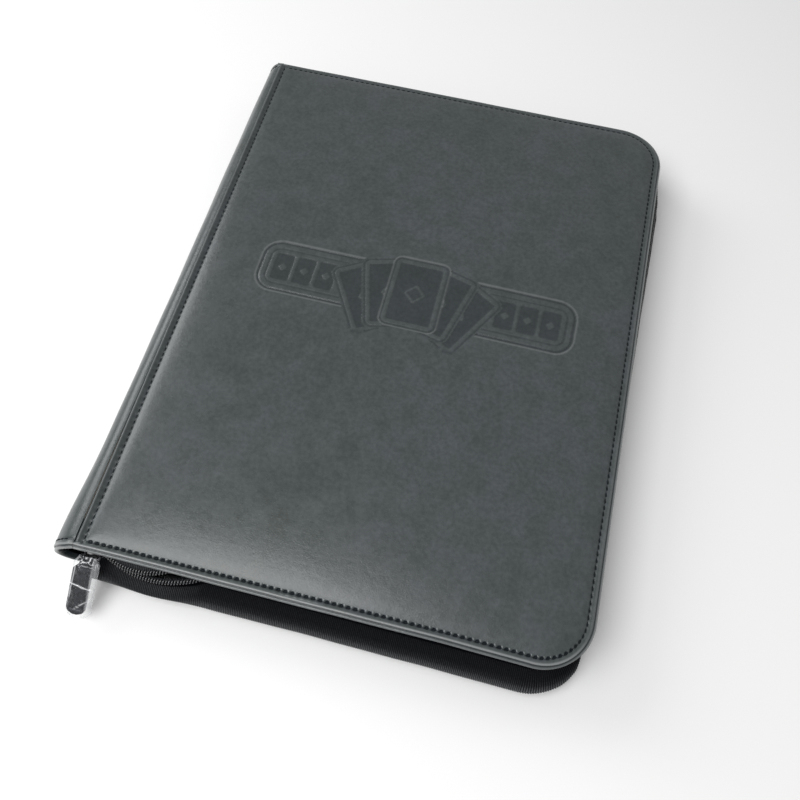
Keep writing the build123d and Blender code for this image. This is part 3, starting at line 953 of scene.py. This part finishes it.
def add_coil(name, coil_out, coil_z, lean, body, stands_for):
    """A nylon coil: one filament wound in flattened loops along the tape's edge."""
    loop_pitch, per_loop, wire_sides, wire = 1.5, 10, 6, 0.42
    run, edge, normal = edge_track(coil_left, loop_pitch / per_loop)
    out = coil_out(edge[:, 0], edge[:, 1])
    near_slider = np.where(edge[:, 1] < 0, np.exp(-np.clip(edge[:, 0] - coil_left, 0, None) / 9.0), 0)
    phase = TURN * run / loop_pitch
    aside = 1.45 * np.cos(phase)
    lift = 1.0 * np.sin(phase) + coil_z + lean * near_slider
    centre = np.stack([*(edge + normal * (out + aside)[:, None]).T, lift], -1)
    ahead = np.gradient(centre, axis=0)
    ahead /= np.linalg.norm(ahead, axis=1)[:, None]
    track = np.stack([-normal[:, 1], normal[:, 0], np.zeros(len(run))], -1)
    first = np.cross(ahead, track)
    first /= np.linalg.norm(first, axis=1)[:, None] + 1e-9
    second = np.cross(ahead, first)
    points = rings_about(centre, first, second, wire, wire_sides)
    add_piece(name, points, grid_faces(len(run), wire_sides, wrap=True), nylon, "coil", body, stands_for)


def tube(path, radius, sides, closed=False, flat=1.0):
    """Points and faces of a round bar along a path."""
    path = np.array(path, dtype=float)
    count = len(path)
    if closed:
        ahead = np.roll(path, -1, 0) - np.roll(path, 1, 0)
    else:
        ahead = np.gradient(path, axis=0)
    ahead /= np.linalg.norm(ahead, axis=1)[:, None]
    spread = np.ptp(path, axis=0)
    level = np.eye(3)[int(np.argmin(spread))]
    second = np.cross(ahead, level)
    second /= np.linalg.norm(second, axis=1)[:, None]
    points = rings_about(path, level[None, :] * flat, second, radius, sides)
    faces = grid_faces(count, sides, wrap=True)
    if closed:
        last = (count - 1) * sides
        faces += [[last + i, last + (i + 1) % sides, (i + 1) % sides, i] for i in range(sides)]
    else:
        faces += end_caps(count, sides)
    return points, faces


def rounded_plate(half_w, half_t, r, layers, steps=6):
    """Stacked rounded outlines in local x, y with z levels: (z, inset) from bottom to top, capped."""
    points = []
    for z, inset in layers:
        for cx, cy, start in ((1, -1, -90), (1, 1, 0), (-1, 1, 90), (-1, -1, 180)):
            for k in range(steps + 1):
                a = math.radians(start + 90 * k / steps)
                radius = max(r - inset, 0.05)
                x, y = cx * (half_w - r), cy * (half_t - r)
                points.append((x + radius * math.cos(a), y + radius * math.sin(a), z))
    count = 4 * (steps + 1)
    faces = grid_faces(len(layers), count, wrap=True) + end_caps(len(layers), count)
    return np.array(points), faces


def join(parts):
    """Joins several (points, faces) into one."""
    points, faces, first = [], [], 0
    for part_points, part_faces in parts:
        points.append(part_points)
        faces += [[first + i for i in face] for face in part_faces]
        first += len(part_points)
    return np.concatenate(points), faces


def add_slider_shell():
    """Two plates with turned lips either side of the coils, joined by a post between them."""
    (left, outer_y, low_z), (right, inner_y, high_z) = box_mm("slider_body")
    centre_x, centre_z = (left + right) / 2, (low_z + high_z) / 2
    half_len, half_t = (right - left) / 2, (high_z - low_z) / 2
    edge_layers = [(0.0, 0.55), (0.2, 0.15), (0.5, 0.0), (1.1, 0.0), (1.4, 0.15), (1.6, 0.55)]
    plate_t = 1.5
    parts = []

    def place(plate, x, y, z):
        """x, y and z map the plate's own points to the frame."""
        points, faces = plate
        parts.append((np.stack([x + points[:, 0], y(points), z(points)], -1), faces))

    for base_y, way in ((outer_y, 1), (inner_y, -1)):
        place(rounded_plate(half_len, half_t, 2.6, edge_layers), centre_x,
              lambda p: base_y + way * p[:, 2], lambda p: centre_z + p[:, 1])
    lip_layers = [(0.0, 0.2), (0.15, 0.0), (0.7, 0.0), (0.85, 0.2)]
    for base_y, way, depth in ((outer_y + plate_t, 1, 1.0), (inner_y - plate_t, -1, 1.3)):
        for level in (-1, 1):
            place(rounded_plate(half_len - 2.2, depth / 2, 0.4, lip_layers, steps=3), centre_x,
                  lambda p: base_y + way * (p[:, 1] + depth / 2),
                  lambda p: centre_z + level * (half_t - 0.85) + level * p[:, 2])
    place(rounded_plate(1.7, 0.9, 0.85, [(0.0, 0.0), (4.2, 0.0)]), right - 3.4,
          lambda p: outer_y + plate_t + p[:, 2], lambda p: centre_z + p[:, 1])
    add_piece("slider_shell", *join(parts), slider_metal, "slider_metal", "slider", ["slider_body"],
              flat=True)


def add_slider_arch():
    """The bridge on the outer plate that the pull's ring hangs on."""
    pin_x, pin_y, pin_z = pull_pin
    reach = 4.1
    bend = 1.5
    arch = [(pin_x - reach, box_mm("slider_body")[0][1] + 0.3, pin_z)]
    for k in range(7):
        a = math.radians(180 - 15 * k)
        arch.append((pin_x - reach + bend * (1 + math.cos(a)), pin_y + bend * (1 - math.sin(a)), pin_z))
    arch += [(2 * pin_x - x, y, z) for x, y, z in arch[::-1]]
    add_piece("slider_arch", *tube(arch, 0.62, 10, flat=1.25), slider_metal, "slider_metal", "slider",
              ["slider_bridge"])


# --- pull ------------------------------------------------------------------------------

droop = math.radians(30.0)      # of the pull at rest, under level
pull_aside = 3.5                # from the arch's middle to the ring
pull_ahead = np.array([0, -math.cos(droop), -math.sin(droop)])
pull_up = np.array([0, -math.sin(droop), math.cos(droop)])


def on_pull(points):
    """Local (across, along, up) of the pull to the frame; its ring hangs left of the arch's middle."""
    points = np.asarray(points, dtype=float)
    across = np.array([1.0, 0, 0])
    return np.array(pull_pin) + points @ np.stack([across, pull_ahead, pull_up]) - (pull_aside, 0, 0)


def film_fold(x):
    """Where the film is folded across, along the pull."""
    return 15.0 + 0.12 * x


def film_crease_highlight(x, v):
    """Painted highlights: white creases of the film, one across, one long one down the left, some near both
    ends.
    """
    across = 0.75 * math.exp(-(((v - film_fold(x)) / 0.32) ** 2)) * float(smooth_step(x, -6.5, -5))
    down = 0.5 * math.exp(-(((x + 3.6 + 0.02 * v) / 0.28) ** 2)) * float(smooth_step(24 - v, 0, 4))
    slant = 0.45 * math.exp(-(((v - 27.5 + 0.9 * x) / 0.4) ** 2)) * float(smooth_step(x, -1, 1))
    ragged = abs(noise.noise(Vector((x * 0.55, v * 0.5, 1.0))))
    crumple = 0.8 * float(smooth_step(0.10 - ragged, 0, 0.08)) * float(smooth_step(6.5 - v, 0, 3.5))
    rim = 0.35 * math.exp(-(((v - 31.4) / 0.5) ** 2))
    margin = 0.22 * float(smooth_step(x, 5.0, 5.8))
    return max(across, down, slant, crumple, rim, margin)


def add_pull_ring():
    """The wire ring between the slider's bridge and the blade."""
    radius = 1.9
    around = np.linspace(0, TURN, 28, endpoint=False)
    ring = [(0, 0.75 + radius * math.cos(a), radius * math.sin(a)) for a in around]
    points, faces = tube(ring, 0.45, 10, closed=True)
    add_piece("pull_ring", on_pull(points), faces, slider_metal, "slider_metal", "pull", ["pull_link"])


def add_pull_blade():
    """A flat blade with a narrow thin neck, a round tip and a shallow recess in its face."""
    length, width, start = 31.0, 10.6, 0.9
    neck_w, tip_r = 2.5, 4.0
    outline = []
    for v in np.linspace(start, length, 33):
        half_w = neck_w + (width / 2 - neck_w) * float(smooth_step(v, 3.4, 7.0))
        round_off = math.sqrt(max(1 - max((v - (length - tip_r)) / tip_r, 0) ** 2, 0.0))
        outline.append((v, max(half_w - tip_r * (1 - round_off), 1.6)))
    face_z = 0.9
    layers = []
    for level, shrink in ((-face_z, 0.35), (-0.7, 0.08), (-0.4, 0), (0.4, 0), (0.7, 0.08), (face_z, 0.35)):
        loop = [(w - shrink, v, level) for v, w in outline]
        loop += [(-(w - shrink), v, level) for v, w in outline[::-1]]
        layers.append(loop)
    count = len(layers[0])
    points = np.array(layers).reshape(-1, 3)
    neck_end, neck_flat = 4.6, 0.6
    points[:, 2] *= np.where(points[:, 1] < neck_end, neck_flat, 1.0)
    faces = grid_faces(len(layers), count, wrap=True)
    faces += [list(range(count))[::-1]]
    rim_w, recess_start, recess_end, floor_z = 1.3, 7.5, length - 2.2, 0.62
    recess = [(math.copysign(max(abs(x) - rim_w, 0.2), x), min(max(v, recess_start), recess_end), face_z)
              for x, v, _ in layers[-1]]
    recess_floor = [(x * 0.94, recess_start + 0.4 + (v - recess_start) * 0.96, floor_z)
                    for x, v, _ in recess]
    top = len(points) - count
    rim = len(points)
    points = np.concatenate([points, recess, recess_floor])
    for first, second in ((top, rim), (rim, rim + count)):
        for i in range(count):
            after = (i + 1) % count
            faces.append([first + i, first + after, second + after, second + i])
    faces.append(list(range(rim + count, rim + 2 * count)))
    add_piece("pull_blade", on_pull(points), faces, pull_metal, "pull_metal", "pull", ["pull_tab"],
              flat=True)


def add_pull_wrap():
    """The clear film round the blade: a flattened sleeve, crumpled, pinched at both ends."""
    rings, sides = 130, 112
    film_start, film_length, film_half, film_half_t, film_right = -1.0, 33.4, 6.9, 1.95, 1.5
    rows, crease_highlights = [], []
    for i in range(rings):
        t = i / (rings - 1)
        v = film_start + t * film_length
        tip = math.sqrt(max(1 - 0.93 * max((t - 0.88) / 0.12, 0) ** 2, 0))
        pinch = tip * (0.66 + 0.34 * float(smooth_step(t, 0, 0.12)))
        for j in range(sides):
            a = TURN * j / sides
            c, sn = math.cos(a), math.sin(a)
            x = math.copysign(abs(c) ** 0.55, c) * film_half * pinch + film_right
            z = math.copysign(abs(sn) ** 0.75, sn) * film_half_t * (0.55 + 0.45 * pinch)
            here = Vector((x * 0.23, v * 0.16, z * 0.35 + 4.0))
            ridge = 1 - abs(noise.noise(here)) * 2.2
            fine = noise.noise(here * 3.1)
            fold = math.exp(-(((v - film_fold(x)) / 0.7) ** 2))
            bulge = 0.42 * ridge + 0.16 * fine - 0.55 * fold
            sway = 0.5 * noise.noise(Vector((v * 0.22, 7.0, 0.0))) * (1 if c > 0 else 0.3) * abs(c)
            along = v + 0.35 * noise.noise(Vector((x * 0.4, 3.0, t)))
            rows.append((x + sway, along, z + math.copysign(bulge, sn) * abs(sn) ** 0.5))
            crease_highlights.append(film_crease_highlight(x, v) if sn > 0 else 0.0)
    wrap = add_piece("pull_wrap", on_pull(rows), grid_faces(rings, sides, wrap=True), wrap_film, "film",
                     "pull", ["pull_film"])
    # Painted highlights along the film's creases.
    mark(wrap, "painted_light_and_shade", crease_highlights)


# --- leaves ----------------------------------------------------------------------------


def add_leaf(number):
    """One pocket leaf: a dark core and nine clear pockets on each face."""
    node = f"leaf_{number:02d}"
    body = f"{node}_turning"
    (left, low_y, low_z), (right, high_y, high_z) = box_mm(node)
    z = (low_z + high_z) / 2
    pocket_left, margin, core_half_t = left + 30.0, 3.0, 0.12
    cell_w, cell_h = (right - 2.0 - pocket_left) / 3, (high_y - low_y - 2 * margin) / 3
    across = [left, left + 4, left + 11, left + 12.5, pocket_left - 2]
    across += [pocket_left + cell_w * k for k in range(4)] + [right]
    along = [low_y] + [low_y + margin + cell_h * k for k in range(4)] + [high_y]
    points = np.array([(x, y, z + level)
                       for level in (-core_half_t, core_half_t) for y in along for x in across])
    order = np.arange(len(across) * len(along)).reshape(len(along), len(across))
    faces = grid_faces(*order.shape, flip=True) + grid_faces(*order.shape, first=order.size)
    rim = [*order[0], *order[1:, -1], *order[-1, -2::-1], *order[-2:0:-1, 0]]
    for i, j in zip(rim, rim[1:] + rim[:1]):
        faces.append([int(i), int(j), int(j + order.size), int(i + order.size)])
    add_piece(f"{node}_core", points, faces, leaf_core, "pocket_film", body, [node], flat=True)

    steps = 7
    u, v = np.meshgrid(np.linspace(0, 1, steps), np.linspace(0, 1, steps))
    swell = 0.16 + 0.12 * (np.sin(math.pi * u) * np.sin(math.pi * v)) ** 0.5
    pockets = []
    for level in (-1, 1):
        for col in range(3):
            for row in range(3):
                x = pocket_left + cell_w * (col + 0.015 + 0.97 * u)
                y = low_y + margin + cell_h * (row + 0.012 + 0.976 * v)
                film = np.stack([x, y, z + level * swell], -1).reshape(-1, 3)
                pockets.append((film, grid_faces(steps, steps, flip=level < 0)))
    add_piece(f"{node}_pockets", *join(pockets), pocket_film, "pocket_film", body)


# --- the object ------------------------------------------------------------------------
crowns = {"front": 2.6, "back": 0.20}    # how far the padding rises in the middle
add_cover_panel("front", crowns["front"], 2.0, True)
add_cover_panel("back", crowns["back"], 3.6, False)
for cover_side, cover_crown in crowns.items():
    add_cover_border(cover_side, cover_crown)
    add_seam(cover_side, cover_crown)
    add_cover_stitches(cover_side)
add_spine_half("spine_skin_upper", math.pi / 2, math.pi, ["spine_leather"])
add_spine_half("spine_skin_lower", math.pi, 3 * math.pi / 2, ())
add_spine_stitches()
add_spine_end_tape("foot", -1, ["spine_end_binding"])
add_spine_end_tape("head", 1, ())
add_tape("lower_tape_ribbed", lower_tape_profile(), lower_coil_out, "back_cover", ["lower_zip_tape"])
add_tape("upper_tape_ribbed", upper_tape_profile(), upper_coil_out, "front_cover", ["upper_zip_tape"])
add_coil("lower_coil_filament", lower_coil_out, lower_coil_z, 1.4, "back_cover", ["lower_coil"])
add_coil("upper_coil_filament", upper_coil_out, upper_coil_z, -1.2, "front_cover", ["upper_coil"])
add_slider_shell()
add_slider_arch()
add_pull_ring()
add_pull_blade()
add_pull_wrap()
for leaf_number in range(1, 21):
    add_leaf(leaf_number)

node_materials = {
    "board": board, "foam": foam, "lining": lining, "stiffener": board, "binding": binding, "stop": nylon,
}
for node_name, node in frame["nodes"].items():
    kind = node_name.rsplit("_", 1)[-1]
    if kind in node_materials:
        node.data.materials.clear()
        node.data.materials.append(node_materials[kind])

# --- floor, light and camera -----------------------------------------------------------
floor_mesh = bpy.data.meshes.new("floor")
floor_half = 4.0
floor_corners = [(x * floor_half, y * floor_half, 0) for x, y in ((-1, -1), (1, -1), (1, 1), (-1, 1))]
floor_mesh.from_pydata(floor_corners, [], [(0, 1, 2, 3)])
floor = bpy.data.objects.new("floor", floor_mesh)
bpy.context.scene.collection.objects.link(floor)
paper = Shader("pale_floor")
paper.set(Base_Color=(0.86, 0.86, 0.86, 1), Roughness=0.9)
floor_mesh.materials.append(paper.material)


def add_light(name, location, target, size, power, colour=(1, 1, 1)):
    lamp = bpy.data.lights.new(name, "AREA")
    lamp.shape = "RECTANGLE"
    lamp.size, lamp.size_y = size
    lamp.energy = power
    lamp.color = colour
    holder = bpy.data.objects.new(name, lamp)
    holder.location = location
    holder.rotation_euler = (Vector(target) - Vector(location)).to_track_quat("-Z", "Y").to_euler()
    bpy.context.scene.collection.objects.link(holder)


add_light("overhead_softbox", (-0.49, -0.52, 1.22), (-0.49, -0.52, 0.0), (0.95, 0.85), 15.5)
add_light("left_window", (-1.5, 0.5, 1.0), (0, 0, 0), (0.9, 0.9), 12)

world = bpy.data.worlds.new("studio")
world.use_nodes = True
world.node_tree.nodes["Background"].inputs["Color"].default_value = (1, 1, 1, 1)
world.node_tree.nodes["Background"].inputs["Strength"].default_value = 0.42
bpy.context.scene.world = world
bpy.context.scene.view_settings.view_transform = "Standard"

camera_data = bpy.data.cameras.new("camera")
camera_data.sensor_width = 36.0
camera_data.lens = 34.63
camera_data.shift_x = 0.006
camera = bpy.data.objects.new("camera", camera_data)
camera.location = (0.04397, -0.23145, 0.42344)
camera.rotation_euler = Euler([math.radians(a) for a in (24.96, -0.705, 14.24)], "XYZ")
bpy.context.scene.collection.objects.link(camera)
bpy.context.scene.camera = camera
